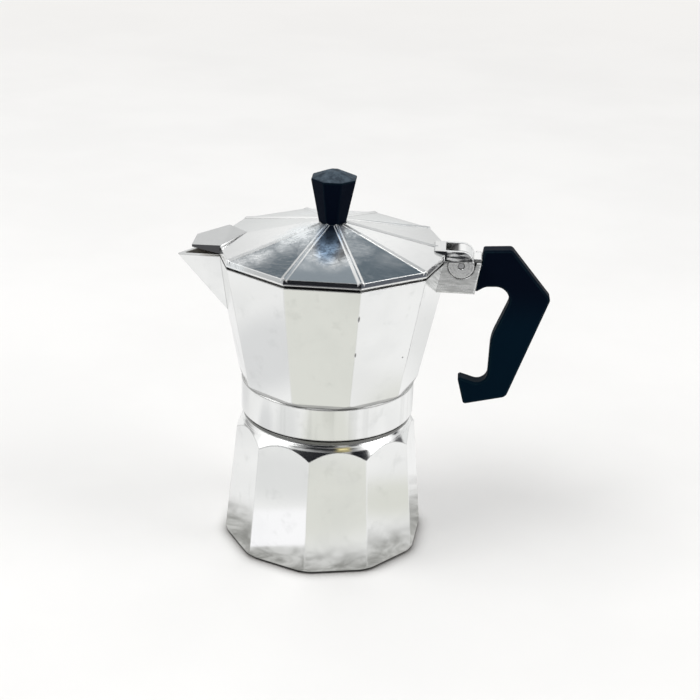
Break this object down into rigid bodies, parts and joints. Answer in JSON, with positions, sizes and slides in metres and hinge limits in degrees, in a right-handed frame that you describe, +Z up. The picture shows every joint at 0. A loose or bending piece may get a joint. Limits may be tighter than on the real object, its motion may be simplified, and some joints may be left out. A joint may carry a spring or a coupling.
{
  "type": "moka pot",
  "caption": "Faceted stovetop moka pot: boiler with safety valve, lift-out coffee funnel, screw-on collector with V spout, hinged ribbed lid, dark knob and angled handle.",
  "frame": {"origin": "on the table, under the pot's own axis, at the middle of the boiler's flat underside", "axes": "+Z up along the pot's axis; +X towards the handle and the lid's hinge, so the spout points to -X; +Y to the side, away from the camera of the picture"},
  "size_m": [0.1519, 0.0937, 0.16],
  "materials": {
    "cast_aluminium": "polished cast aluminium with soft reflections",
    "sheet_aluminium": "plain satin aluminium",
    "seal_rubber": "pale rubber",
    "dark_plastic": "near black moulded plastic, softly glossy",
    "valve_brass": "turned brass",
    "steel": "plain steel"
  },
  "bodies": {
    "boiler": {"boiler": "cast_aluminium", "valve_washer": "sheet_aluminium", "valve_body": "valve_brass", "valve_cap": "valve_brass", "valve_spring": "steel"},
    "valve_poppet": {"valve_poppet": "steel"},
    "funnel": {"funnel_basket": "sheet_aluminium", "funnel_tube": "sheet_aluminium", "funnel_screen": "sheet_aluminium"},
    "seal": {"gasket": "seal_rubber", "filter_plate": "sheet_aluminium"},
    "collector": {"collector": "cast_aluminium", "column": "sheet_aluminium", "hinge_pin": "steel", "handle": "dark_plastic", "handle_screw": "steel"},
    "lid": {"lid": "cast_aluminium", "knob": "dark_plastic", "knob_screw": "steel", "knob_washer": "steel"}
  },
  "joints": [
    {"name": "funnel_lift", "type": "slide", "parent": "boiler", "child": "funnel", "axis": [0, 0, 1], "range_m": [0, 0.062]},
    {"name": "collector_lift", "type": "slide", "parent": "funnel", "child": "seal", "axis": [0, 0, 1], "range_m": [0, 0.006]},
    {"name": "collector_turn", "type": "hinge", "parent": "seal", "child": "collector", "pos_m": [0, 0, 0], "axis": [0, 0, 1], "range_deg": [0, 720]},
    {"name": "lid_hinge", "type": "hinge", "parent": "collector", "child": "lid", "pos_m": [0.0524, 0, 0.1258], "axis": [0, 1, 0], "range_deg": [0, 105]},
    {"name": "valve_lift", "type": "slide", "parent": "boiler", "child": "valve_poppet", "axis": [-0.2122, 0.973, 0.0907], "range_m": [0, 0.0012], "stiffness_N_per_m": 900, "springref_m": -0.0022, "deforming": ["valve_spring"]}
  ],
  "couplings": [
    {"joint": "collector_lift", "follows": "collector_turn", "m_per_rad": 0.00047746}
  ]
}
